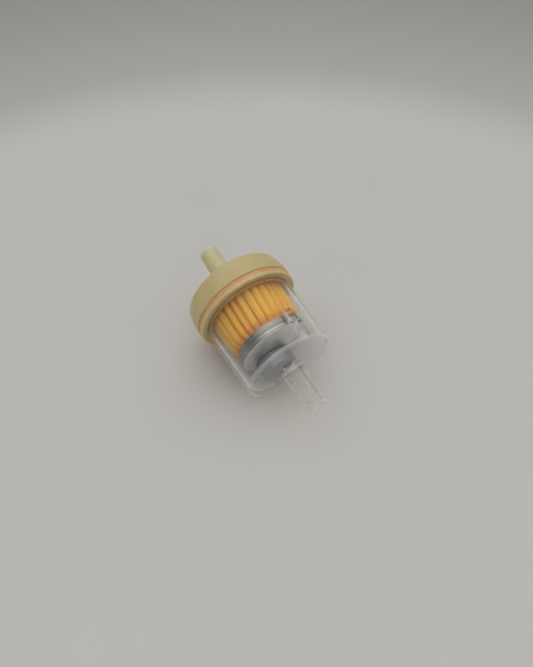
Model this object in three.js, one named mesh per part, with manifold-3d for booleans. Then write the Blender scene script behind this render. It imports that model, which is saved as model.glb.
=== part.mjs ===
// Sealed inline fuel filter for a small engine, in millimetres.
// The flow axis is X: fuel enters the clear cup's spigot at -X and leaves the cap's spigot at +X.
// The origin is on the flow axis, half way between the two spigot ends. +Z is up as the filter lies.
import * as THREE from "three";
import { mergeVertices } from "three/addons/utils/BufferGeometryUtils.js";
import Module from "manifold-3d";

const wasm = await Module();
wasm.setup();

// ---------- driving dimensions ----------
const GAP = 0.3; // left between pieces that touch on the real filter
const SIDES = 40; // sides of a round piece
const THIN_SIDES = 32; // sides of a round piece inside the element
const ARC_STEP = Math.PI / 6; // turn of one chord of a fillet

// along the flow axis
const INLET_END = -36;
const CUP_END = -19.8;
const CUP_FLOOR = 1.8; // thickness
const PLATE_FACE = -11.2; // outer face of the closed end plate
const FLANGE_FRONT = 6.1;
const FLANGE_BACK = 7.7;
const CAP_FRONT = 9;
const CAP_BACK = 17.3;
const CAP_FLOOR = 2; // thickness
const OUTLET_END = 36;

// hose spigots
const BORE_R = 1.75;
const SPIGOT_TIP_R = 3.3;
const SPIGOT_ROOT_R = 3.75;
const OUTLET_TIP_R = 3.5;
const OUTLET_ROOT_R = 4;
const TIP_FILLET = 0.5;
const INLET_FILLET = 1.9; // where the spigot meets the cup
const OUTLET_FILLET = 1; // where the spigot meets the cap
const HUB_R = 5.9; // root of the inlet spigot, which fills the middle of the cup's floor
const BORE_MOUTH = 1; // chamfer of the bore inside the cup

// clear cup
const CUP_R_END = 16.1;
const CUP_R_FLANGE = 16.9;
const CUP_WALL = 1.5;
const FLANGE_R = 18.9;
const TONGUE_END = 10.7; // the cup's wall runs on into the cap as far as this
const RIB_ANGLES = [25.4, 205.4]; // degrees from +Z towards -Y
const RIB_WIDTH = 2.6;
const RIB_FOOT_WIDTH = 4.2;
const RIB_TOP = -6.5;
const RIB_SUNK = 0.5; // how far a rib's root reaches into the floor
const RIB_STEP = 0.3; // the foot ends this far past the end plate's face
const SLOT_LENGTH = 2.3;
const SLOT_WIDTH = 1.2;

// cream cap
const CAP_R = 19.1;
const CAP_R_BACK = 18.2; // before its corner is rounded
const CAP_TAPER_START = 12.3;
const CAP_BORE_R = 17.2; // takes the cup's tongue
const CAP_BORE_END = 11.1;
const CAP_INNER_R = 16.4;
const NOSE_R = 4.3; // short tube inside the cap that enters the element
const NOSE_END = 12.4;
const NOSE_MOUTH = 1.3; // widening of the bore at the nose's end

// bead between the cup's flange and the cap's rim
const WELD_R = 18.8;
const WELD_INNER_R = 17.6;

// filter element
const SHEET = 0.45; // end plates
const PLATE_R = 12.5;
const SKIRT = 4.2;
const PLEATS = 28;
const PLEAT_INNER_R = 5.95;
const PAPER = 0.42;
const PLEAT_LEAN = 6.5; // degrees over the length of the pack
const PLEAT_UNEVEN = 0.16; // share of a pleat's pitch by which its crest may lie off
const PLEAT_BELLY_R = 13.7; // crests half way between the end plates
const PLEAT_SHOULDER_R = 13.1;
const PLEAT_SHOULDER = 2; // distance of the shoulders from the skirts
const CORE_R = 5.4;
const CORE_INNER_R = 4.9;
const CORE_ROWS = 4;
const CORE_AROUND = 6; // holes in a row
const CORE_HOLE_R = 0.9;
const POTTING = 1.2; // thickness
const POTTING_R = 11.7;
const OPEN_PLATE_FACE = 13.65;
const GASKET_INNER_R = 4.8;
const GASKET_R = 7.6;

// disc magnet, which clings to the closed end plate and has slid down to its edge
const MAGNET_R = 6.5;
const MAGNET_THICK = 4.8;
const MAGNET_AT = new THREE.Vector2(1, -5.75); // y, z of its axis

// ---------- shared shape makers ----------

// A closed outline from corners [x, r] or [x, r, fillet], with each fillet drawn as an arc.
function roundedLoop(corners) {
  const outline = [];
  corners.forEach(([x, r, fillet = 0], i) => {
    const corner = new THREE.Vector2(x, r);
    if (fillet === 0) {
      outline.push(corner);
      return;
    }
    const before = corners[(i + corners.length - 1) % corners.length];
    const after = corners[(i + 1) % corners.length];
    const back = new THREE.Vector2(before[0], before[1]).sub(corner).normalize();
    const ahead = new THREE.Vector2(after[0], after[1]).sub(corner).normalize();
    const half = Math.acos(back.dot(ahead)) / 2;
    const start = corner.clone().addScaledVector(back, fillet / Math.tan(half));
    const middle = back.clone().add(ahead).normalize();
    const centre = corner.clone().addScaledVector(middle, fillet / Math.sin(half));
    const spoke = start.clone().sub(centre);
    const turn = Math.sign(ahead.cross(back)) * (Math.PI - 2 * half);
    const chords = Math.max(1, Math.round(Math.abs(turn) / ARC_STEP));
    for (let k = 0; k <= chords; k += 1) {
      const point = spoke.clone().rotateAround(new THREE.Vector2(), (turn * k) / chords);
      outline.push(point.add(centre));
    }
  });
  return outline;
}

// A body of revolution about X. The outline's corners are [x, r] or [x, r, fillet], and it starts
// and ends on the axis or closes on itself.
function turned(corners, sides = SIDES) {
  const outline = roundedLoop(corners);
  if (outline[0].y > 0) {
    outline.push(outline[0].clone());
  }
  if (THREE.ShapeUtils.area(outline) > 0) {
    outline.reverse();
  }
  const profile = outline.map((point) => new THREE.Vector2(point.y, point.x));
  return new THREE.LatheGeometry(profile, sides).rotateZ(-Math.PI / 2);
}

function solidOf(geometry) {
  const bare = geometry.clone();
  bare.deleteAttribute("normal");
  bare.deleteAttribute("uv");
  const merged = mergeVertices(bare, 1e-4);
  return new wasm.Manifold(
    new wasm.Mesh({
      numProp: 3,
      vertProperties: merged.attributes.position.array,
      triVerts: new Uint32Array(merged.index.array),
    }),
  );
}

function geometryOf(solid) {
  const mesh = solid.getMesh();
  const geometry = new THREE.BufferGeometry();
  const points = new THREE.BufferAttribute(new Float32Array(mesh.vertProperties), 3);
  geometry.setAttribute("position", points);
  geometry.setIndex(new THREE.BufferAttribute(new Uint32Array(mesh.triVerts), 1));
  geometry.computeVertexNormals();
  return geometry;
}

// Turned about the flow axis: 0 degrees is +Z, and the angle grows towards -Y.
function atAngle(geometry, degrees) {
  return geometry.rotateX(THREE.MathUtils.degToRad(degrees));
}

// ---------- the sub-components ----------

// Outer radius of the cup's drafted wall at a place along the axis.
function cupRadius(x) {
  const share = (x - CUP_END) / (FLANGE_FRONT - CUP_END);
  return THREE.MathUtils.lerp(CUP_R_END, CUP_R_FLANGE, share);
}

// A guide rib on the cup's inner wall: a wide foot at the floor and a narrower rail past the
// element's end plate, with a short slot through it where the two meet.
function cupRib(degrees) {
  const floor = CUP_END + CUP_FLOOR - RIB_SUNK;
  const inner = PLATE_R + GAP;
  const outer = cupRadius(RIB_TOP) - CUP_WALL / 2;
  const bar = (width, x0, x1, low, high) => {
    const box = new THREE.BoxGeometry(x1 - x0, width, high - low);
    box.translate((x0 + x1) / 2, 0, (low + high) / 2);
    return solidOf(atAngle(box, degrees));
  };
  const footEnd = PLATE_FACE + RIB_STEP;
  const foot = bar(RIB_FOOT_WIDTH, floor, footEnd, inner, outer);
  const rail = bar(RIB_WIDTH, floor, RIB_TOP, inner, outer);
  const slotWall = cupRadius(PLATE_FACE) - CUP_WALL;
  const slotEnd = footEnd + SLOT_LENGTH / 2;
  const slot = bar(SLOT_WIDTH, slotEnd - SLOT_LENGTH, slotEnd, PLATE_R - 1, slotWall);
  return foot.add(rail).subtract(slot);
}

function clearCup() {
  const floor = CUP_END + CUP_FLOOR;
  const body = turned([
    [CUP_END, HUB_R + GAP],
    [CUP_END, CUP_R_END, 1.2],
    [FLANGE_FRONT, CUP_R_FLANGE],
    [FLANGE_FRONT, FLANGE_R, 0.5],
    [FLANGE_BACK, FLANGE_R],
    [FLANGE_BACK, CUP_R_FLANGE],
    [TONGUE_END, CUP_R_FLANGE],
    [TONGUE_END, CUP_R_FLANGE - CUP_WALL],
    [FLANGE_FRONT, CUP_R_FLANGE - CUP_WALL],
    [floor, cupRadius(floor) - CUP_WALL, 0.8],
    [floor, HUB_R + GAP],
  ]);
  const cup = RIB_ANGLES.reduce((solid, degrees) => solid.add(cupRib(degrees)), solidOf(body));
  return geometryOf(cup);
}

// The spigot is moulded in one with the cup. It is a solid of its own so that its bore stays open.
function inletSpigot() {
  const floor = CUP_END + CUP_FLOOR;
  return turned([
    [INLET_END, BORE_R],
    [INLET_END, SPIGOT_TIP_R, TIP_FILLET],
    [CUP_END, SPIGOT_ROOT_R, INLET_FILLET],
    [CUP_END, HUB_R],
    [floor, HUB_R],
    [floor, BORE_R + BORE_MOUTH],
    [floor - BORE_MOUTH, BORE_R],
  ]);
}

function outletCap() {
  const floor = CAP_BACK - CAP_FLOOR;
  return turned([
    [OUTLET_END, BORE_R],
    [OUTLET_END, OUTLET_TIP_R, TIP_FILLET],
    [CAP_BACK, OUTLET_ROOT_R, OUTLET_FILLET],
    [CAP_BACK, CAP_R_BACK, 2],
    [CAP_TAPER_START, CAP_R],
    [CAP_FRONT, CAP_R],
    [CAP_FRONT, CAP_BORE_R],
    [CAP_BORE_END, CAP_BORE_R],
    [CAP_BORE_END, CAP_INNER_R],
    [floor, CAP_INNER_R, 0.8],
    [floor, NOSE_R],
    [NOSE_END, NOSE_R],
    [NOSE_END, BORE_R + NOSE_MOUTH],
    [floor, BORE_R],
  ]);
}

// A flat ring with square edges.
function flatRing(x0, x1, innerR, outerR, sides = THIN_SIDES) {
  return turned(
    [
      [x0, innerR],
      [x0, outerR],
      [x1, outerR],
      [x1, innerR],
    ],
    sides,
  );
}

function weldRing() {
  return flatRing(FLANGE_BACK + GAP, CAP_FRONT - GAP, WELD_INNER_R, WELD_R, SIDES);
}

// The pleated sheet as a closed zigzag band. Stations along the axis give the radius of its outer
// folds: gripped inside each end plate, and bellied out between them.
function pleatedPaper() {
  const start = PLATE_FACE + SHEET + POTTING + 2 * GAP;
  const end = OPEN_PLATE_FACE - SHEET - POTTING - 2 * GAP;
  const gripped = PLATE_R - SHEET - GAP;
  const skirtTop = PLATE_FACE + SKIRT + GAP;
  const openSkirtTop = OPEN_PLATE_FACE - SKIRT - GAP;
  const stations = [
    [start, gripped],
    [skirtTop, gripped],
    [skirtTop + PLEAT_SHOULDER, PLEAT_SHOULDER_R],
    [(skirtTop + openSkirtTop) / 2, PLEAT_BELLY_R],
    [openSkirtTop - PLEAT_SHOULDER, PLEAT_SHOULDER_R],
    [openSkirtTop, gripped],
    [end, gripped],
  ];
  const pitch = (2 * Math.PI) / PLEATS;
  const polar = (radius, angle) =>
    new THREE.Vector2(radius * Math.cos(angle), radius * Math.sin(angle));
  const outside = [];
  const inside = [];
  for (let i = 0; i < PLEATS; i += 1) {
    const top = (i + PLEAT_UNEVEN * Math.sin(2.4 * i)) * pitch;
    const bottom = (i + 0.5) * pitch;
    outside.push(polar(PLEAT_BELLY_R, top - PAPER / PLEAT_BELLY_R));
    outside.push(polar(PLEAT_BELLY_R, top + PAPER / PLEAT_BELLY_R));
    outside.push(polar(PLEAT_INNER_R + PAPER, bottom));
    inside.push(polar(PLEAT_BELLY_R - 1.5 * PAPER, top));
    inside.push(polar(PLEAT_INNER_R, bottom - PAPER / PLEAT_INNER_R));
    inside.push(polar(PLEAT_INNER_R, bottom + PAPER / PLEAT_INNER_R));
  }
  const section = new THREE.Shape(outside);
  section.holes.push(new THREE.Path(inside.reverse()));
  const geometry = new THREE.ExtrudeGeometry(section, {
    depth: 1,
    steps: stations.length - 1,
    bevelEnabled: false,
  });
  const points = geometry.getAttribute("position");
  const lean = THREE.MathUtils.degToRad(PLEAT_LEAN);
  for (let i = 0; i < points.count; i += 1) {
    const [x, grip] = stations[Math.round(points.getZ(i) * (stations.length - 1))];
    const flat = new THREE.Vector2(points.getX(i), points.getY(i));
    const share = (flat.length() - PLEAT_INNER_R) / (PLEAT_BELLY_R - PLEAT_INNER_R);
    flat.setLength(PLEAT_INNER_R + share * (grip - PLEAT_INNER_R));
    flat.rotateAround(new THREE.Vector2(), (lean * (x - start)) / (end - start));
    points.setXYZ(i, x, flat.x, flat.y);
  }
  return geometry;
}

// Perforated tube that keeps the pleats from folding inwards.
function supportCore() {
  const start = PLATE_FACE + SHEET + POTTING + 2 * GAP;
  const end = OPEN_PLATE_FACE - SHEET - GAP;
  const tube = solidOf(flatRing(start, end, CORE_INNER_R, CORE_R));
  const circle = new THREE.Shape();
  circle.absarc(0, 0, CORE_HOLE_R, 0, 2 * Math.PI);
  let core = tube;
  for (let row = 0; row < CORE_ROWS; row += 1) {
    const x = start + ((row + 0.5) * (end - start)) / CORE_ROWS;
    for (let k = 0; k < CORE_AROUND; k += 1) {
      const hole = new THREE.ExtrudeGeometry(circle, {
        depth: 3 * (CORE_R - CORE_INNER_R),
        bevelEnabled: false,
        curveSegments: 4,
      });
      hole.translate(x, 0, 2 * CORE_INNER_R - CORE_R);
      core = core.subtract(solidOf(atAngle(hole, (360 * (k + (row % 2) / 2)) / CORE_AROUND)));
    }
  }
  return geometryOf(core);
}

// Pressed steel plate over one end of the pleats, with a skirt round them.
// face is the outer face, away is +1 where the skirt runs towards +X, holeR is the centre hole.
function endPlate(face, away, holeR = 0) {
  return turned([
    [face, holeR],
    [face, PLATE_R, 0.7],
    [face + away * SKIRT, PLATE_R],
    [face + away * SKIRT, PLATE_R - SHEET],
    [face + away * SHEET, PLATE_R - SHEET, 0.3],
    [face + away * SHEET, holeR],
  ]);
}

function discMagnet() {
  const back = PLATE_FACE - GAP;
  return turned([
    [back - MAGNET_THICK, 0],
    [back - MAGNET_THICK, MAGNET_R, 0.4],
    [back, MAGNET_R, 0.4],
    [back, 0],
  ]);
}

// ---------- materials ----------
const clearPlastic = new THREE.MeshStandardMaterial({
  color: 0xd9dcd8,
  roughness: 0.15,
  metalness: 0,
  transparent: true,
  opacity: 0.3,
});
const creamNylon = new THREE.MeshStandardMaterial({
  color: 0xcfc68c,
  roughness: 0.4,
  metalness: 0,
});
const amberWeld = new THREE.MeshStandardMaterial({ color: 0xc98d56, roughness: 0.45, metalness: 0 });
const filterPaper = new THREE.MeshStandardMaterial({ color: 0xd9a441, roughness: 0.9, metalness: 0 });
const platedSteel = new THREE.MeshStandardMaterial({ color: 0xb3b5b0, roughness: 0.3, metalness: 1 });
const ferrite = new THREE.MeshStandardMaterial({ color: 0x4b4e57, roughness: 0.6, metalness: 0.2 });
const plastisol = new THREE.MeshStandardMaterial({ color: 0xb9813c, roughness: 0.6, metalness: 0 });
const nitrile = new THREE.MeshStandardMaterial({ color: 0x1c1c1e, roughness: 0.8, metalness: 0 });
const tinplate = new THREE.MeshStandardMaterial({ color: 0xa9aba6, roughness: 0.4, metalness: 1 });

// ---------- assembly ----------
const filter = new THREE.Group();

function place(name, geometry, material) {
  const mesh = new THREE.Mesh(geometry, material);
  mesh.name = name;
  filter.add(mesh);
  return mesh;
}

place("clear_cup", clearCup(), clearPlastic);
place("inlet_spigot", inletSpigot(), clearPlastic);
place("outlet_cap", outletCap(), creamNylon);
place("weld_ring", weldRing(), amberWeld);
place("pleated_paper", pleatedPaper(), filterPaper);
place("support_core", supportCore(), tinplate);
place("closed_end_plate", endPlate(PLATE_FACE, 1), platedSteel);
place("open_end_plate", endPlate(OPEN_PLATE_FACE, -1, CORE_INNER_R), platedSteel);

const pottingStart = PLATE_FACE + SHEET + GAP;
const closedPotting = flatRing(pottingStart, pottingStart + POTTING, 0, POTTING_R);
place("closed_end_potting", closedPotting, plastisol);

const openPottingEnd = OPEN_PLATE_FACE - SHEET - GAP;
const openPotting = flatRing(openPottingEnd - POTTING, openPottingEnd, CORE_R + GAP, POTTING_R);
place("open_end_potting", openPotting, plastisol);

const gasketStart = OPEN_PLATE_FACE + GAP;
const gasketEnd = CAP_BACK - CAP_FLOOR - GAP;
place("outlet_gasket", flatRing(gasketStart, gasketEnd, GASKET_INNER_R, GASKET_R), nitrile);

const magnet = place("disc_magnet", discMagnet(), ferrite);
magnet.position.set(0, MAGNET_AT.x, MAGNET_AT.y);

export default filter;
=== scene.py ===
# Looks of a sealed inline fuel filter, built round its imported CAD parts.
# Shapes are worked out in millimetres and made in metres. x runs along the flow axis, towards the outlet,
# and r is the distance from that axis.
import math

import bmesh
import bpy
from mathutils import Matrix, Vector, noise


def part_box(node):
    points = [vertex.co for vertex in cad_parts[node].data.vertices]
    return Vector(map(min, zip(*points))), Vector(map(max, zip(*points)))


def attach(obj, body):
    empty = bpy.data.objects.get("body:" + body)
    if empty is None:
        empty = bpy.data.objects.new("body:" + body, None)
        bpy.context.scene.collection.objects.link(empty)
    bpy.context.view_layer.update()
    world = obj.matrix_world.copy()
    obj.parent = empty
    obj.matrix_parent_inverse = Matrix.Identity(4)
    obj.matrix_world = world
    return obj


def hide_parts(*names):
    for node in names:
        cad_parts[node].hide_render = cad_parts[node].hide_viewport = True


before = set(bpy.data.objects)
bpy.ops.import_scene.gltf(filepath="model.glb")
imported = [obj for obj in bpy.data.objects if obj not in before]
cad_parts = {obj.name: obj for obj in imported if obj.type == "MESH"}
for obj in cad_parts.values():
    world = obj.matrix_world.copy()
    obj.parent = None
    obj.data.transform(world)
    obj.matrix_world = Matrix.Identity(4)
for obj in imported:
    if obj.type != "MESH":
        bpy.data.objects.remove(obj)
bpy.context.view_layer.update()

MM = 0.001


def span(node):
    """Lowest x, highest x and largest radius of a CAD node, in millimetres."""
    low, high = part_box(node)
    return low.x / MM, high.x / MM, (high.y - low.y) / 2 / MM


# ---------- places and sizes, from the CAD parts ----------
inlet_end, _, _ = span("inlet_spigot")
cup_end, tongue_end, flange_r = span("clear_cup")
cap_front, outlet_end, cap_r = span("outlet_cap")
_, _, weld_r = span("weld_ring")
plate_face, skirt_end, plate_r = span("closed_end_plate")
open_skirt_end, open_face, _ = span("open_end_plate")
core_start, core_end, core_r = span("support_core")
potting_start, potting_end, potting_r = span("closed_end_potting")
open_potting_start, open_potting_end, open_potting_r = span("open_end_potting")
gasket_start, gasket_end, gasket_r = span("outlet_gasket")
magnet_start, magnet_end, magnet_r = span("disc_magnet")

# ---------- details, in millimetres ----------
SIDES = 160  # round a turned piece
ARC_STEP = math.radians(10)  # turn of one chord of a fillet
SHARP = math.radians(32)  # edges that turn more than this stay crisp

BORE_R = 1.75
TIP_R = 3.3
ROOT_R = 3.75
OUTLET_TIP_R = 3.5
OUTLET_ROOT_R = 4.0

CUP_FLOOR = 1.8
CUP_R_END = 16.1
CUP_R_FLANGE = 16.9
CUP_WALL = 1.5
FROSTED_CORNER = 1.2  # reach of the frosted band at the cup's end corner
FROSTED_TIP = 0.6  # and at the inlet spigot's tip
SPIGOT_FOOT = 0.5  # the spigot's last stretch has the wall's finish
FLANGE_FRONT = 6.1
FLANGE_BACK = 7.7
STAIN_START = 5.8  # where the weld's cloudy stain on the cup's inner wall begins
HAIR_GAP = 0.02  # between pieces that touch
WELD_INNER_R = 17.6
WELD_UNEVEN = 0.1  # how much the weld's bead may sink
WELD_WAVES = 6  # how fast this changes round the joint

RIB_ANGLES = [25.4, 205.4]  # degrees from +Z towards -Y
RIB_WIDTH = 2.6
RIB_FOOT_WIDTH = 4.2
RIB_TOP = -6.5
RIB_CLEAR = 0.3  # between a rib and the end plate, along the axis and across it
RIB_SUNK = 0.5  # depth of a rib's end in the cup's floor
RIB_EDGE = 0.25
SLOT_LENGTH = 2.3
SLOT_WIDTH = 1.2
SLOT_EDGE = 0.15
SLOT_REACH = 1.0  # how far the cutter of a slot stands out of the rib
NEAR_RIB = 0.1  # to each side of a rib, where the finish is still the rib's
OFF_FLOOR = 0.02  # what stands out of the cup's floor by this much is a rib
OFF_WALL = 0.05  # and out of its wall by this much

CAP_BACK = 17.3
CAP_FLOOR = 2.0
CAP_R_BACK = 18.2
CAP_TAPER_START = 12.3
CAP_BORE_R = 17.2
CAP_BORE_END = 11.1
CAP_INNER_R = 16.4
NOSE_R = 4.3
NOSE_END = 12.4

SHEET = 0.45
SHEET_BEND = 0.3  # fillet inside a plate's rim
SHEET_EDGE = 0.12  # fillet of a skirt's edge
PLATE_RIM = 0.4  # fillet between a plate's face and its skirt
SKIRT_STEP = 0.12  # between the points along a skirt
SKIRT_FIRST = 0.6  # from the plate's face to the first of them
SKIRT_LAST = 0.3  # and at least this much from the last to the skirt's edge
RIPPLE_DEPTH = 0.04
RIPPLE_PITCH = 0.46
RIPPLE_MIDDLE = 2.1  # distance of the ripples' middle from the plate's face
RIPPLE_REACH = 1.5
RIPPLE_INSIDE = 0.1  # points deeper than this inside the skirt's wall stay where they are

CORE_INNER_R = 4.9
CORE_ROWS = 4
CORE_AROUND = 6
CORE_HOLE_R = 0.9
CORE_EDGE = 0.1
CORE_SIDES = 96
HOLE_SIDES = 24
HOLE_CUTTER = 3.0  # length of what cuts a hole
GASKET_INNER_R = 4.8
GASKET_EDGE = 0.2
POTTING_CLEAR = 0.3  # between the open plate's potting and the core
POTTING_EDGE = 0.3
MAGNET_EDGE = 0.45

PLEATS = 28
PLEAT_INNER_R = 5.95
PAPER = 0.42
PLEAT_LEAN = math.radians(6.5)  # over the length of the pack
PLEAT_BELLY = 13.75  # radius of the crests half way between the end plates
PLEAT_FALL = 0.5  # the crests lie this much lower near the closed plate
PLEAT_SPREAD = 0.5  # and this much higher near the cap
SPREAD_START = -3.0
SPREAD_END = 4.0
PLEAT_GRIP = 0.15  # between the crests and the inside of the skirts
PLEAT_SUNK = 0.6  # depth of the pleats' ends in the potting
CLOSED_RISE = 2.4  # distance in which the crests rise from the closed plate's skirt
OPEN_RISE = 0.6  # and from the open plate's
PLEAT_ROWS = 34  # steps along the pack
PLEAT_SWAY = 0.012  # radians by which a crest wanders along the pack
SWAY_APART = 3.7  # distance in the noise between one crest and the next
SWAY_PACE = 0.11  # and for each millimetre along the pack
CREST_OFF = 0.12  # share of a pitch by which a crest may lie off its place
CREST_BEAT = 2.4  # how this goes from crest to crest, in radians of a sine
CREST_SINK = 0.1  # half of what a crest may lie lower than its neighbours
SINK_BEAT = 5.1  # how this, and the depth of the shoulders, goes from crest to crest
VALLEY_HALF = 0.24  # half of a valley's width, as a share of the pitch
SLOT_HALF = 0.085  # half of the slot between two folds, as a share of the pitch
SHOULDER_UNEVEN = 0.35  # share by which a shoulder's depth varies
SHOULDER_CLOSED = 0.55  # depth of the shoulders below the crests at the closed plate
SHOULDER_GROWTH = 1.0  # and how much deeper they are at the cap
CREST_FILLET = 0.6
SHOULDER_FILLET = 0.35
VALLEY_FILLET = 0.28
FOLD_CHORDS = 4  # chords in each of these fillets


# ---------- mesh makers ----------
def rounded(corners, step=ARC_STEP, chords=None):
    """A closed outline from corners (x, r) or (x, r, fillet), with each fillet drawn as an arc."""
    outline = []
    for i, (x, r, *fillet) in enumerate(corners):
        corner = Vector((x, r))
        if not fillet:
            outline.append(corner)
            continue
        back = (Vector(corners[i - 1][:2]) - corner).normalized()
        ahead = (Vector(corners[(i + 1) % len(corners)][:2]) - corner).normalized()
        half = math.acos(max(-1.0, min(1.0, back.dot(ahead)))) / 2
        start = corner + back * fillet[0] / math.tan(half)
        centre = corner + (back + ahead).normalized() * fillet[0] / math.sin(half)
        turn = math.copysign(math.pi - 2 * half, ahead.x * back.y - ahead.y * back.x)
        count = chords or max(2, round(abs(turn) / step))
        spoke = start - centre
        for k in range(count + 1):
            outline.append(centre + Matrix.Rotation(turn * k / count, 2) @ spoke)
    return outline


def turned(outline, sides=SIDES, shape=None):
    """Points and faces of an outline (x, r) swept round the flow axis. Points at r = 0 become poles.
    shape(x, r, angle) may move each point and returns its x and r."""
    points, rings = [], []
    for x, r in outline:
        if r < 1e-9:
            rings.append([len(points)] * sides)
            points.append((x, 0.0, 0.0))
            continue
        rings.append(range(len(points), len(points) + sides))
        for k in range(sides):
            angle = 2 * math.pi * k / sides
            px, pr = shape(x, r, angle) if shape else (x, r)
            points.append((px, pr * math.cos(angle), pr * math.sin(angle)))
    faces = []
    for ring, following in zip(rings, rings[1:] + rings[:1]):
        for k in range(sides):
            n = (k + 1) % sides
            corners = [ring[k], ring[n], following[n], following[k]]
            face = list(dict.fromkeys(corners))
            if len(face) > 2:
                faces.append(face)
    return points, faces


def linked(name, data):
    made = bpy.data.objects.new(name, data)
    bpy.context.scene.collection.objects.link(made)
    return made


def shape_object(name, shape):
    """A linked object with the mesh of a bmesh, which is freed."""
    mesh = bpy.data.meshes.new(name)
    shape.to_mesh(mesh)
    shape.free()
    return linked(name, mesh)


def mesh_object(name, points, faces):
    """A linked object whose mesh has those points, in millimetres, and faces that face outwards."""
    mesh = bpy.data.meshes.new(name)
    mesh.from_pydata([Vector(p) * MM for p in points], [], faces)
    shape = bmesh.new()
    shape.from_mesh(mesh)
    bmesh.ops.recalc_face_normals(shape, faces=shape.faces)
    shape.to_mesh(mesh)
    shape.free()
    return linked(name, mesh)


def cut_and_join(target, operands):
    """Applies (operation, object) booleans to target in turn and removes the operand objects."""
    for operation, other in operands:
        modifier = target.modifiers.new(operation, "BOOLEAN")
        modifier.operation = operation
        modifier.solver = "EXACT"
        modifier.object = other
    evaluated = target.evaluated_get(bpy.context.evaluated_depsgraph_get())
    mesh = bpy.data.meshes.new_from_object(evaluated)
    target.modifiers.clear()
    target.data = mesh
    for _, other in operands:
        bpy.data.objects.remove(other)
    return target


def finished(piece, node, material):
    """Shades the piece, gives it its material and lets it stand for a CAD node."""
    shape = bmesh.new()
    shape.from_mesh(piece.data)
    for face in shape.faces:
        face.smooth = True
    for edge in shape.edges:
        if len(edge.link_faces) == 2:
            edge.smooth = edge.calc_face_angle() < SHARP
    shape.to_mesh(piece.data)
    shape.free()
    piece.data.materials.clear()
    piece.data.materials.append(material)
    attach(piece, "root")
    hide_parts(node)
    return piece


# ---------- material makers ----------
def add(tree, kind, inputs=None, **settings):
    """A new node. Inputs are values, or sockets to link from."""
    node = tree.nodes.new(kind)
    for key, value in settings.items():
        setattr(node, key, value)
    for socket, value in (inputs or {}).items():
        if isinstance(value, bpy.types.NodeSocket):
            tree.links.new(value, node.inputs[socket])
        else:
            node.inputs[socket].default_value = value
    return node


def start_material(name, **principled):
    """A material with one Principled shader: (material, tree, shader, position in millimetres)."""
    material = bpy.data.materials.new(name)
    material.use_nodes = True
    tree = material.node_tree
    shader = tree.nodes["Principled BSDF"]
    for socket, value in principled.items():
        shader.inputs[socket.replace("_", " ")].default_value = value
    place = add(tree, "ShaderNodeTexCoord").outputs["Object"]
    scaled = add(tree, "ShaderNodeVectorMath", {0: place, "Scale": 1 / MM}, operation="SCALE")
    return material, tree, shader, scaled.outputs[0]


def speckle(tree, place, size, detail=2.0, rough=0.5):
    """Noise from 0 to 1 with blotches of about that size, in millimetres."""
    inputs = {"Vector": place, "Scale": 1 / size, "Detail": detail, "Roughness": rough}
    return add(tree, "ShaderNodeTexNoise", inputs).outputs[0]


def stretched(tree, value, low, high, start=0.3, end=0.7):
    """Maps start..end of a value to low..high."""
    inputs = {0: value, 1: start, 2: end, 3: low, 4: high}
    return add(tree, "ShaderNodeMapRange", inputs).outputs[0]


def between(tree, share, first, second):
    """A colour part way between two colours."""
    mix = add(tree, "ShaderNodeMix", {0: share}, data_type="RGBA")
    for socket, colour in ((6, first), (7, second)):
        if isinstance(colour, bpy.types.NodeSocket):
            tree.links.new(colour, mix.inputs[socket])
        else:
            mix.inputs[socket].default_value = (*colour, 1.0)
    return mix.outputs[2]


def raised(tree, shader, height, depth):
    """Gives the shader a bump of that depth, in millimetres."""
    inputs = {"Height": height, "Distance": depth * MM, "Strength": 1.0}
    bump = add(tree, "ShaderNodeBump", inputs).outputs[0]
    tree.links.new(bump, shader.inputs["Normal"])


def away_from_axis(tree, place):
    """Distance from the flow axis, in millimetres."""
    across = add(tree, "ShaderNodeVectorMath", {0: place, 1: (0.0, 1.0, 1.0)}, operation="MULTIPLY")
    return add(tree, "ShaderNodeVectorMath", {0: across.outputs[0]}, operation="LENGTH").outputs["Value"]


def turning_lines(tree, place, size):
    """Noise in fine rings round the flow axis, on walls and on flat ends alike."""
    along = add(tree, "ShaderNodeSeparateXYZ", {0: place}).outputs[0]
    inputs = {0: along, 1: away_from_axis(tree, place)}
    rings = add(tree, "ShaderNodeCombineXYZ", inputs).outputs[0]
    slow = add(tree, "ShaderNodeVectorMath", {0: place, 1: (0.0, 0.004, 0.004)}, operation="MULTIPLY")
    joined = add(tree, "ShaderNodeVectorMath", {0: rings, 1: slow.outputs[0]}, operation="ADD")
    return speckle(tree, joined.outputs[0], size, detail=3.0, rough=0.6)


def pass_lamps(tree, shader, colour):
    """Lets that share of lamp light through each surface, as a see-through or translucent wall does."""
    through = add(tree, "ShaderNodeBsdfTransparent", {"Color": (*colour, 1.0)})
    shadow = add(tree, "ShaderNodeLightPath").outputs["Is Shadow Ray"]
    mix = add(tree, "ShaderNodeMixShader", {0: shadow, 1: shader.outputs[0], 2: through.outputs[0]})
    tree.links.new(mix.outputs[0], tree.nodes["Material Output"].inputs["Surface"])


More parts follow.
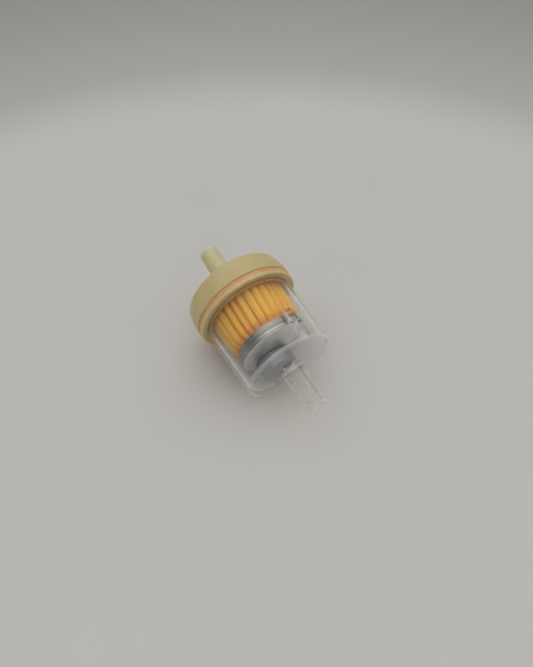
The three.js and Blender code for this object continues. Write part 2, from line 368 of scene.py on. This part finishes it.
def clear_plastic(name, ior, clearness, coat, tint):
    """Clear, slightly smoky moulding. Its sheen is the soft haze that it shows at a shallow angle, stronger
    and warmer near the weld."""
    material, tree, shader, place = start_material(
        name, Transmission_Weight=clearness, IOR=ior, Base_Color=(tint, tint, tint * 0.995, 1.0),
        Coat_Weight=coat, Coat_Roughness=0.25, Sheen_Roughness=0.4,
    )
    haze = stretched(tree, speckle(tree, place, 2.5, 3.0), 0.06, 0.14)
    tree.links.new(haze, shader.inputs["Roughness"])
    along = add(tree, "ShaderNodeSeparateXYZ", {0: place}).outputs[0]
    near_weld = stretched(tree, along, 0.0, 1.0, -3.0, FLANGE_FRONT)
    warmth = between(tree, near_weld, (1.0, 1.0, 1.0), (1.0, 0.72, 0.42))
    tree.links.new(warmth, shader.inputs["Sheen Tint"])
    tree.links.new(stretched(tree, near_weld, 0.75, 1.0, 0.0, 1.0), shader.inputs["Sheen Weight"])
    raised(tree, shader, speckle(tree, place, 4.0, 1.0), 0.006)
    pass_lamps(tree, shader, (0.97, 0.94, 0.89))
    return material


def cream_nylon():
    material, tree, shader, place = start_material(
        "cream_nylon", Subsurface_Weight=0.8, Subsurface_Scale=2.5 * MM, IOR=1.5
    )
    shader.inputs["Subsurface Radius"].default_value = (1.0, 0.8, 0.45)
    cloud = stretched(tree, speckle(tree, place, 6.0, 3.0), 0.0, 1.0)
    body = between(tree, cloud, (0.58, 0.47, 0.23), (0.63, 0.53, 0.28))
    along = add(tree, "ShaderNodeSeparateXYZ", {0: place}).outputs[0]
    # Painted light: towards the cap's back corner the colour turns part way to orange, standing for the
    # glow that shines through the translucent nylon at its rounded edge.
    corner = stretched(tree, along, 0.0, 0.5, CAP_BACK - 2.2, CAP_BACK - 0.5)
    painted_rim_glow = between(tree, corner, body, (0.66, 0.42, 0.20))
    spigot = stretched(tree, along, 0.0, 1.0, CAP_BACK, CAP_BACK + 3)
    colour = between(tree, spigot, painted_rim_glow, (0.60, 0.58, 0.34))
    tree.links.new(colour, shader.inputs["Base Color"])
    tree.links.new(stretched(tree, speckle(tree, place, 1.2), 0.34, 0.46), shader.inputs["Roughness"])
    raised(tree, shader, speckle(tree, place, 0.35, 3.0), 0.012)
    pass_lamps(tree, shader, (0.70, 0.42, 0.16))
    return material


def stained_flange():
    material, tree, shader, place = start_material(
        "stained_flange", Subsurface_Weight=0.8, Subsurface_Scale=2.0 * MM, IOR=1.5, Roughness=0.25
    )
    shader.inputs["Subsurface Radius"].default_value = (1.0, 0.7, 0.4)
    cloud = stretched(tree, speckle(tree, place, 3.0, 3.0), 0.0, 1.0)
    colour = between(tree, cloud, (0.62, 0.48, 0.25), (0.67, 0.55, 0.32))
    tree.links.new(colour, shader.inputs["Base Color"])
    raised(tree, shader, speckle(tree, place, 0.8, 2.0), 0.02)
    pass_lamps(tree, shader, (0.72, 0.52, 0.30))
    return material


def amber_weld():
    material, tree, shader, place = start_material(
        "amber_weld", Subsurface_Weight=0.3, Subsurface_Scale=0.6 * MM, IOR=1.5
    )
    blotch = stretched(tree, speckle(tree, place, 2.2, 3.0), 0.0, 1.0)
    colour = between(tree, blotch, (0.64, 0.27, 0.10), (0.76, 0.42, 0.17))
    tree.links.new(colour, shader.inputs["Base Color"])
    tree.links.new(stretched(tree, speckle(tree, place, 0.8), 0.3, 0.5), shader.inputs["Roughness"])
    raised(tree, shader, speckle(tree, place, 0.6, 3.0), 0.05)
    pass_lamps(tree, shader, (0.75, 0.55, 0.35))
    return material


def filter_paper():
    material, tree, shader, place = start_material(
        "filter_paper", Subsurface_Weight=0.35, Subsurface_Scale=0.4 * MM, IOR=1.3
    )
    shader.inputs["Subsurface Radius"].default_value = (1.0, 0.7, 0.4)
    # Painted light and shade: the paper is lighter and yellower at the crests, furthest from the axis, and
    # darker and redder deeper in the folds, where shade falls.
    crest = stretched(tree, away_from_axis(tree, place), 0.0, 1.0, 11.9, 13.5)
    fibre = stretched(tree, speckle(tree, place, 0.25, 4.0, 0.7), 0.0, 1.0)
    light = between(tree, crest, (0.72, 0.28, 0.012), (0.75, 0.44, 0.02))
    dark = between(tree, crest, (0.64, 0.23, 0.01), (0.68, 0.37, 0.015))
    colour = between(tree, fibre, dark, light)
    tree.links.new(colour, shader.inputs["Base Color"])
    tree.links.new(stretched(tree, fibre, 0.75, 0.6, 0.0, 1.0), shader.inputs["Roughness"])
    raised(tree, shader, speckle(tree, place, 0.22, 4.0, 0.7), 0.03)
    return material


def sheet_metal(name, face, bright, dull, rough):
    """Pressed sheet: flat faces have an even colour, and drawn walls carry fine bright and dull lines from
    the die. The face colour also covers most of the rounded rim between face and skirt, where it is a
    painted highlight."""
    material, tree, shader, place = start_material(name, Metallic=1.0)
    lines = turning_lines(tree, place, 0.45)
    stain = stretched(tree, speckle(tree, place, 4.0, 1.0), 0.0, 1.0)
    lined = between(tree, stretched(tree, lines, 0.0, 1.0, 0.38, 0.62), dull, bright)
    # Where the normal leans along the axis, on the face and on most of the rim's fillet, the face colour
    # takes over; on the rim this bright colour is a painted highlight.
    normal = add(tree, "ShaderNodeNewGeometry").outputs["Normal"]
    along = add(tree, "ShaderNodeSeparateXYZ", {0: normal}).outputs[0]
    flat = stretched(tree, add(tree, "ShaderNodeMath", {0: along}, operation="ABSOLUTE").outputs[0],
                     0.0, 1.0, 0.1, 0.35)
    base = between(tree, flat, lined, face)
    colour = between(tree, stretched(tree, stain, 0.0, 0.25, 0.0, 1.0), base, dull)
    tree.links.new(colour, shader.inputs["Base Color"])
    finish = stretched(tree, flat, rough, rough + 0.12, 0.0, 1.0)
    tree.links.new(finish, shader.inputs["Roughness"])
    raised(tree, shader, lines, 0.012)
    return material


def ferrite():
    material, tree, shader, place = start_material("ferrite", Metallic=0.85)
    grain = speckle(tree, place, 0.18, 5.0, 0.7)
    colour = between(tree, stretched(tree, grain, 0.0, 1.0), (0.19, 0.20, 0.23), (0.27, 0.28, 0.31))
    tree.links.new(colour, shader.inputs["Base Color"])
    tree.links.new(stretched(tree, speckle(tree, place, 1.5), 0.32, 0.5), shader.inputs["Roughness"])
    raised(tree, shader, grain, 0.01)
    return material


def rubbery(name, dark, light, rough, size, depth):
    """A matt, grainy paste or rubber. size and depth are the grain's, in millimetres."""
    material, tree, shader, place = start_material(name)
    grain = speckle(tree, place, size, 4.0)
    colour = between(tree, stretched(tree, grain, 0.0, 1.0), dark, light)
    tree.links.new(colour, shader.inputs["Base Color"])
    tree.links.new(stretched(tree, grain, rough, rough + 0.15), shader.inputs["Roughness"])
    raised(tree, shader, grain, depth)
    return material


cloudy_stain = stained_flange()
plated_steel = sheet_metal(
    "plated_steel", face=(0.86, 0.86, 0.84), bright=(0.48, 0.45, 0.39), dull=(0.12, 0.12, 0.11), rough=0.24
)
tinplate = sheet_metal(
    "tinplate", face=(0.64, 0.65, 0.62), bright=(0.60, 0.61, 0.58), dull=(0.45, 0.46, 0.44), rough=0.38
)
plastisol = rubbery(
    "plastisol", dark=(0.55, 0.34, 0.12), light=(0.70, 0.47, 0.20), rough=0.5, size=1.2, depth=0.1
)
nitrile = rubbery(
    "nitrile", dark=(0.015, 0.015, 0.016), light=(0.035, 0.035, 0.037), rough=0.6, size=0.3, depth=0.02
)


# ---------- the clear cup ----------
def cup_radius(x):
    """The outer radius of the cup's wall, which widens towards the flange."""
    share = (x - cup_end) / (FLANGE_FRONT - cup_end)
    return CUP_R_END + share * (CUP_R_FLANGE - CUP_R_END)


def bar(width, x0, x1, low, high, degrees, bevel):
    """A bar along the flow axis between the radii low and high, turned to an angle, edges rounded."""
    shape = bmesh.new()
    bmesh.ops.create_cube(shape, size=1.0)
    middle = Vector(((x0 + x1) / 2, 0, (low + high) / 2))
    for vertex in shape.verts:
        vertex.co = Vector((vertex.co.x * (x1 - x0), vertex.co.y * width, vertex.co.z * (high - low)))
        vertex.co += middle
    bmesh.ops.bevel(shape, geom=shape.edges, offset=bevel, segments=3, affect="EDGES", profile=0.5)
    shape.transform(Matrix.Scale(MM, 4) @ Matrix.Rotation(math.radians(degrees), 4, "X"))
    return shape_object("bar", shape)


def cup_rib(degrees):
    """The booleans that add one guide rib, with its wide foot, to the cup and cut the slot through it."""
    floor = cup_end + CUP_FLOOR - RIB_SUNK
    inner = plate_r + RIB_CLEAR
    outer = cup_radius(RIB_TOP) - CUP_WALL / 2
    foot_end = plate_face + RIB_CLEAR
    slot_end = foot_end + SLOT_LENGTH / 2
    slot_wall = cup_radius(plate_face) - CUP_WALL
    foot = bar(RIB_FOOT_WIDTH, floor, foot_end, inner, outer, degrees, RIB_EDGE)
    rail = bar(RIB_WIDTH, floor, RIB_TOP, inner, outer, degrees, RIB_EDGE)
    reach = inner - SLOT_REACH
    slot = bar(SLOT_WIDTH, slot_end - SLOT_LENGTH, slot_end, reach, slot_wall, degrees, SLOT_EDGE)
    return [("UNION", foot), ("UNION", rail), ("DIFFERENCE", slot)]


def on_rib(place):
    """Whether a point on the cup lies on a rib, off the cup's own wall."""
    r = math.hypot(place.y, place.z)
    angle = math.degrees(math.atan2(-place.y, place.z)) % 360
    half = math.degrees((RIB_FOOT_WIDTH / 2 + NEAR_RIB) / r)
    off_floor = place.x > cup_end + CUP_FLOOR + OFF_FLOOR
    off_wall = r < cup_radius(place.x) - CUP_WALL - OFF_WALL
    return off_floor and off_wall and any(abs(angle - rib) < half for rib in RIB_ANGLES)


CUP_OUTLINE = rounded([
    (inlet_end, BORE_R, 0.2),
    (inlet_end, TIP_R, 0.5),
    (cup_end, ROOT_R, 1.9),
    (cup_end, CUP_R_END, 1.2),
    (FLANGE_FRONT, CUP_R_FLANGE),
    (tongue_end, CUP_R_FLANGE, 0.3),
    (tongue_end, CUP_R_FLANGE - CUP_WALL, 0.3),
    (FLANGE_FRONT, CUP_R_FLANGE - CUP_WALL),
    (STAIN_START, cup_radius(STAIN_START) - CUP_WALL),
    (cup_end + CUP_FLOOR, cup_radius(cup_end + CUP_FLOOR) - CUP_WALL, 0.8),
    (cup_end + CUP_FLOOR, BORE_R, 0.9),
])
FLANGE_OUTLINE = rounded([
    (FLANGE_FRONT, CUP_R_FLANGE + HAIR_GAP),
    (FLANGE_FRONT, flange_r, 0.5),
    (FLANGE_BACK, flange_r, 0.15),
    (FLANGE_BACK, CUP_R_FLANGE + HAIR_GAP),
])


def cup_finish(place):
    """The name of the cup's material at a place on its surface."""
    x, r = place.x, math.hypot(place.y, place.z)
    if x < inlet_end + FROSTED_TIP:
        return "frosted_corner"
    if x < cup_end - SPIGOT_FOOT:
        return "clear_spigot"
    if cup_end < x < cup_end + FROSTED_CORNER and r > CUP_R_END - FROSTED_CORNER:
        return "frosted_corner"
    if x > FLANGE_FRONT or x > STAIN_START and r < cup_radius(x) - CUP_WALL / 2:
        return "stained_flange"
    return "clear_rib" if on_rib(place) else "clear_wall"


def clear_cup():
    """The cup and its inlet spigot are one moulding, with ribs and a finish for each stretch."""
    body = mesh_object("clear_cup_body", *turned(CUP_OUTLINE))
    booleans = [step for degrees in RIB_ANGLES for step in cup_rib(degrees)]
    wall = clear_plastic("clear_wall", ior=1.038, clearness=0.975, coat=0.08, tint=0.875)
    piece = finished(cut_and_join(body, booleans), "clear_cup", wall)
    for finish in (
        clear_plastic("clear_spigot", ior=1.12, clearness=0.955, coat=0.2, tint=0.85),
        clear_plastic("frosted_corner", ior=1.045, clearness=0.72, coat=0.6, tint=0.875),
        cloudy_stain,
        clear_plastic("clear_rib", ior=1.22, clearness=0.94, coat=0.2, tint=0.875),
    ):
        piece.data.materials.append(finish)
    for face in piece.data.polygons:
        face.material_index = piece.data.materials.find(cup_finish(face.center / MM))
    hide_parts("inlet_spigot")


def cup_flange():
    """The cup's welding flange, which the weld has left cloudy and stained."""
    finished(mesh_object("cup_flange", *turned(FLANGE_OUTLINE)), "clear_cup", cloudy_stain)


# ---------- the cream cap and the weld ----------
CAP_OUTLINE = rounded([
    (outlet_end, BORE_R, 0.3),
    (outlet_end, OUTLET_TIP_R, 0.6),
    (CAP_BACK, OUTLET_ROOT_R, 1.0),
    (CAP_BACK, CAP_R_BACK, 2.0),
    (CAP_TAPER_START, cap_r, 6.0),
    (cap_front, cap_r, 0.25),
    (cap_front, CAP_BORE_R, 0.15),
    (CAP_BORE_END, CAP_BORE_R),
    (CAP_BORE_END, CAP_INNER_R),
    (CAP_BACK - CAP_FLOOR, CAP_INNER_R, 0.8),
    (CAP_BACK - CAP_FLOOR, NOSE_R, 0.4),
    (NOSE_END, NOSE_R, 0.3),
    (NOSE_END, BORE_R, 1.0),
])


def outlet_cap():
    finished(mesh_object("outlet_cap_body", *turned(CAP_OUTLINE)), "outlet_cap", cream_nylon())


def weld_ring():
    """The bead is a little uneven round the joint."""
    outline = rounded([
        (FLANGE_BACK + HAIR_GAP, WELD_INNER_R),
        (FLANGE_BACK + HAIR_GAP, weld_r, 0.1),
        (cap_front - HAIR_GAP, weld_r, 0.1),
        (cap_front - HAIR_GAP, WELD_INNER_R),
    ])

    def uneven(x, r, angle):
        around = Vector((math.cos(angle), math.sin(angle), x * 0.2)) * WELD_WAVES
        share = (r - WELD_INNER_R) / (weld_r - WELD_INNER_R)
        return x, r - WELD_UNEVEN * share * (0.5 + 0.5 * noise.noise(around))

    finished(mesh_object("weld_bead", *turned(outline, shape=uneven)), "weld_ring", amber_weld())


# ---------- the pleated paper ----------
def pleat_places():
    """The angle of each crest, about evenly spaced, and the pitch between them."""
    pitch = 2 * math.pi / PLEATS
    crests = [i * pitch + CREST_OFF * pitch * math.sin(CREST_BEAT * i) for i in range(PLEATS)]
    return crests, pitch


def paper_section(grip, slope, sways):
    """The sheet's middle line at one place along the pack. The crests reach the radius grip, less what each
    one sinks, and are moved round by sways. From a crest the folds fall by about slope to their shoulders,
    and from there they dive between their neighbours."""
    crests, pitch = pleat_places()
    deep = PLEAT_INNER_R + PAPER / 2
    valley = VALLEY_HALF * pitch
    slot = SLOT_HALF * pitch
    corners = []
    for i, crest in enumerate(crests):
        before = (crests[i - 1] - (2 * math.pi if i == 0 else 0) + crest) / 2
        after = (crests[(i + 1) % PLEATS] + (2 * math.pi if i == PLEATS - 1 else 0) + crest) / 2
        own = math.sin(SINK_BEAT * i)
        top = grip - PAPER / 2 - CREST_SINK * (1 + own)
        shoulder = top - slope * (1 + SHOULDER_UNEVEN * own)
        for radius, angle, fillet in (
            (deep, before + valley, VALLEY_FILLET),
            (shoulder, before + slot + sways[i], SHOULDER_FILLET),
            (top, crest + sways[i], CREST_FILLET),
            (shoulder, after - slot + sways[i], SHOULDER_FILLET),
            (deep, after - valley, VALLEY_FILLET),
        ):
            corners.append((radius * math.cos(angle), radius * math.sin(angle), fillet))
    return rounded(corners, chords=FOLD_CHORDS)


def clamped(share):
    return max(0.0, min(1.0, share))


def paper_rows():
    """The middle line of the sheet at each step along the pack: (x, points)."""
    start = potting_end - PLEAT_SUNK
    end = open_potting_start + PLEAT_SUNK
    gripped = plate_r - SHEET - PLEAT_GRIP
    rows = []
    for k in range(PLEAT_ROWS + 1):
        share = k / PLEAT_ROWS
        x = start + share * (end - start)
        free = min((x - skirt_end) / CLOSED_RISE, (open_skirt_end - x) / OPEN_RISE)
        rise = clamped(free)
        belly = math.sin(math.pi * (x - skirt_end) / (open_skirt_end - skirt_end)) if free > 0 else 0
        spread = clamped((x - SPREAD_START) / (SPREAD_END - SPREAD_START))
        bulged = PLEAT_BELLY - PLEAT_FALL * (1 - belly) * (1 - spread) + PLEAT_SPREAD * spread
        grip = gripped + (bulged - gripped) * rise * rise * (3 - 2 * rise)
        slope = SHOULDER_CLOSED + SHOULDER_GROWTH * share
        spots = [Vector((i * SWAY_APART, x * SWAY_PACE, 0.0)) for i in range(PLEATS)]
        sways = [PLEAT_SWAY * noise.noise(spot) * rise for spot in spots]
        lean = Matrix.Rotation(PLEAT_LEAN * share, 2)
        rows.append((x, [lean @ p for p in paper_section(grip, slope, sways)]))
    return rows


def pleated_paper():
    """The sheet between an outer and an inner surface, each half its thickness from the middle line."""
    rows = paper_rows()
    points, count = [], len(rows[0][1])
    for side in (0.5, -0.5):
        for x, middle in rows:
            for i, here in enumerate(middle):
                along = (middle[(i + 1) % count] - middle[i - 1]).normalized()
                off = Vector((along.y, -along.x)) * PAPER * side
                points.append((x, here.x + off.x, here.y + off.y))
    faces = []
    layer = count * len(rows)
    for i in range(count):
        n = (i + 1) % count
        for k in range(PLEAT_ROWS):
            here, there = k * count, (k + 1) * count
            faces.append([here + i, here + n, there + n, there + i])
            faces.append([layer + there + i, layer + there + n, layer + here + n, layer + here + i])
        last = PLEAT_ROWS * count
        faces.append([i, layer + i, layer + n, n])
        faces.append([last + i, last + n, layer + last + n, layer + last + i])
    finished(mesh_object("paper_pleats", points, faces), "pleated_paper", filter_paper())


# ---------- the rest of the element ----------
def skirt_ripple(x, r, face):
    """Shallow rings that the press leaves on the skirt of a plate whose outer face is at face."""
    if r <= plate_r - SHEET - RIPPLE_INSIDE:
        return x, r
    off_middle = (abs(x - face) - RIPPLE_MIDDLE) / RIPPLE_REACH
    depth = RIPPLE_DEPTH * math.exp(-(off_middle ** 4))
    return x, r - depth * (0.5 + 0.5 * math.sin(2 * math.pi * x / RIPPLE_PITCH))


def skirted_plate(face, end, hole):
    """Outline of a pressed plate: outer face at face, its skirt's edge at end and a centre hole."""
    inwards = math.copysign(1, end - face)
    count = int((abs(end - face) - SKIRT_FIRST - SKIRT_LAST) / SKIRT_STEP)
    skirt = [(face + inwards * (SKIRT_FIRST + SKIRT_STEP * k), plate_r) for k in range(count)]
    return rounded([
        (face, hole),
        (face, plate_r, PLATE_RIM),
        *skirt,
        (end, plate_r, SHEET_EDGE),
        (end, plate_r - SHEET, SHEET_EDGE),
        (face + inwards * SHEET, plate_r - SHEET, SHEET_BEND),
        (face + inwards * SHEET, hole),
    ])


def end_plate(name, node, face, end, hole):
    outline = skirted_plate(face, end, hole)
    body = mesh_object(name, *turned(outline, shape=lambda x, r, angle: skirt_ripple(x, r, face)))
    finished(body, node, plated_steel)


def disc(name, node, x0, x1, r, hole, fillet, material, middle=(0.0, 0.0)):
    """A flat disc or washer with rounded edges. middle is the y, z of its axis."""
    inner = [(x1, hole, fillet), (x0, hole, fillet)] if hole else [(x1, 0.0), (x0, 0.0)]
    outline = rounded([(x0, r, fillet), (x1, r, fillet), *inner])
    points, faces = turned(outline)
    moved = [(x, y + middle[0], z + middle[1]) for x, y, z in points]
    finished(mesh_object(name, moved, faces), node, material)


def support_core():
    """Perforated tube that keeps the pleats from folding inwards."""
    wall = rounded([
        (core_start, CORE_INNER_R, CORE_EDGE),
        (core_start, core_r, CORE_EDGE),
        (core_end, core_r, CORE_EDGE),
        (core_end, CORE_INNER_R, CORE_EDGE),
    ])
    tube = mesh_object("core_tube", *turned(wall, sides=CORE_SIDES))
    shape = bmesh.new()
    for row in range(CORE_ROWS):
        x = core_start + (row + 0.5) * (core_end - core_start) / CORE_ROWS
        for k in range(CORE_AROUND):
            turn = 2 * math.pi * (k + (row % 2) / 2) / CORE_AROUND
            place = Matrix.Rotation(turn, 4, "X") @ Matrix.Translation((x, 0, core_r))
            bmesh.ops.create_cone(
                shape, cap_ends=True, segments=HOLE_SIDES, radius1=CORE_HOLE_R, radius2=CORE_HOLE_R,
                depth=HOLE_CUTTER, matrix=Matrix.Scale(MM, 4) @ place,
            )
    tube = cut_and_join(tube, [("DIFFERENCE", shape_object("holes", shape))])
    finished(tube, "support_core", tinplate)


# ---------- build ----------
clear_cup()
cup_flange()
outlet_cap()
weld_ring()
pleated_paper()
support_core()
end_plate("closed_plate", "closed_end_plate", plate_face, skirt_end, 0.0)
end_plate("open_plate", "open_end_plate", open_face, open_skirt_end, CORE_INNER_R)
disc("closed_potting", "closed_end_potting", potting_start, potting_end, potting_r, 0.0, POTTING_EDGE,
     plastisol)
disc("open_potting", "open_end_potting", open_potting_start, open_potting_end, open_potting_r,
     core_r + POTTING_CLEAR, POTTING_EDGE, plastisol)
disc("gasket", "outlet_gasket", gasket_start, gasket_end, gasket_r, GASKET_INNER_R, GASKET_EDGE, nitrile)
magnet_low, magnet_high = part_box("disc_magnet")
magnet_middle = (magnet_low + magnet_high) / 2 / MM
disc("magnet_disc", "disc_magnet", magnet_start, magnet_end, magnet_r, 0.0, MAGNET_EDGE, ferrite(),
     (magnet_middle.y, magnet_middle.z))


# ---------- floor, light and camera ----------
def resting_line():
    """The line under the cap and the cup that the filter rests on: its slope, and its radius at x = 0."""
    outline = CUP_OUTLINE + CAP_OUTLINE
    best = (0.0, 0.0)
    for back in (p for p in outline if p.x > 0):
        for front in (p for p in outline if p.x < 0):
            slope = (back.y - front.y) / (back.x - front.x)
            best = max(best, (back.y - slope * back.x, slope))
    return best[1], best[0]


CAMERA_AT = Vector((-78.05, 56.7, 159.3)) * MM
CAMERA_AIM = Vector((-6.4, 1.1, 3.8)) * MM
CAMERA_LENS = 28.82
CAMERA_NEAR = 5 * MM  # nothing nearer than this is drawn

SKY_LIGHT = 0.29
PATCH_LIGHT = 1.08  # what the bright patch adds at its middle
PATCH_AT = Vector((0.36, -0.12, 0.92)).normalized()
PATCH_RIM = 0.42  # cosine of the angle from its middle at which the patch ends
PATCH_CORE = 0.99  # and within which it is at its brightest

rest_slope, rest_depth = resting_line()
up = Vector((rest_slope, 0, 1)).normalized()
floor_middle = Vector((0, 0, -rest_depth * MM))
to_floor = Matrix.Translation(floor_middle) @ up.to_track_quat("Z", "Y").to_matrix().to_4x4()


def backdrop():
    """A round pale floor whose edge sweeps up into a wall with painted shade. Sizes are in metres. Its
    middle lies off towards the camera, so that its far edge is close behind the filter and curves less."""
    flat, sweep, height, flare, offset = 0.225, 0.05, 1.2, 1.6, 0.07
    sides, sweep_steps = 96, 24
    towards = (to_floor.inverted() @ CAMERA_AT).to_2d().normalized() * offset
    steepest = math.atan2(height, flare)
    profile = [(0.0, 0.0), (flat * 0.5, 0.0), (flat, 0.0)]
    for k in range(1, sweep_steps + 1):
        turn = steepest * k / sweep_steps
        profile.append((flat + sweep * math.sin(turn), sweep * (1 - math.cos(turn))))
    profile.append((profile[-1][0] + flare, profile[-1][1] + height))
    points, faces = [], []
    for radius, z in profile:
        for k in range(sides):
            angle = 2 * math.pi * k / sides
            x, y = towards.x + radius * math.cos(angle), towards.y + radius * math.sin(angle)
            points.append((x / MM, y / MM, z / MM))
    for ring in range(len(profile) - 1):
        for k in range(sides):
            n = (k + 1) % sides
            low, high = ring * sides, (ring + 1) * sides
            faces.append([low + k, low + n, high + n, high + k])
    made = mesh_object("backdrop", points, faces)
    made.matrix_world = to_floor
    for face in made.data.polygons:
        face.use_smooth = True
    made.data.materials.append(pale_paper())


def pale_paper():
    """Pale on the floor, and painted darker up the wall as shade."""
    material, tree, shader, place = start_material("pale_paper", Roughness=0.9)
    tone = stretched(tree, speckle(tree, place, 40.0, 2.0), 0.0, 1.0)
    paper = between(tree, tone, (0.60, 0.594, 0.578), (0.612, 0.606, 0.59))
    height = add(tree, "ShaderNodeSeparateXYZ", {0: place}).outputs[2]
    # Painted shade: the colour darkens over the first 40 mm of height, up the wall.
    wall = stretched(tree, height, 0.0, 1.0, 0.0, 40.0)
    tree.links.new(between(tree, wall, paper, (0.41, 0.408, 0.40)), shader.inputs["Base Color"])
    return material


def studio():
    """Soft light from all of the sky, brightest in a broad patch overhead."""
    world = bpy.data.worlds.new("studio")
    world.use_nodes = True
    tree = world.node_tree
    sky = tree.nodes["Background"]
    look = add(tree, "ShaderNodeTexCoord").outputs["Generated"]
    facing = add(tree, "ShaderNodeVectorMath", {0: look, 1: PATCH_AT}, operation="DOT_PRODUCT")
    brightest = SKY_LIGHT + PATCH_LIGHT
    inputs = {0: facing.outputs["Value"], 1: PATCH_RIM, 2: PATCH_CORE, 3: SKY_LIGHT, 4: brightest}
    glow = add(tree, "ShaderNodeMapRange", inputs, interpolation_type="SMOOTHSTEP")
    tree.links.new(glow.outputs[0], sky.inputs[1])
    sky.inputs[0].default_value = (1.0, 0.99, 0.97, 1.0)
    return world


def main_camera():
    lens = bpy.data.cameras.new("camera")
    lens.lens = CAMERA_LENS
    lens.clip_start = CAMERA_NEAR
    camera = linked("camera", lens)
    back = (CAMERA_AT - CAMERA_AIM).normalized()
    right = up.cross(back).normalized()
    turn = Matrix((right, back.cross(right), back)).transposed()
    camera.matrix_world = Matrix.Translation(CAMERA_AT) @ turn.to_4x4()
    return camera


backdrop()
scene = bpy.context.scene
scene.world = studio()
scene.view_settings.view_transform = "Standard"
scene.camera = main_camera()
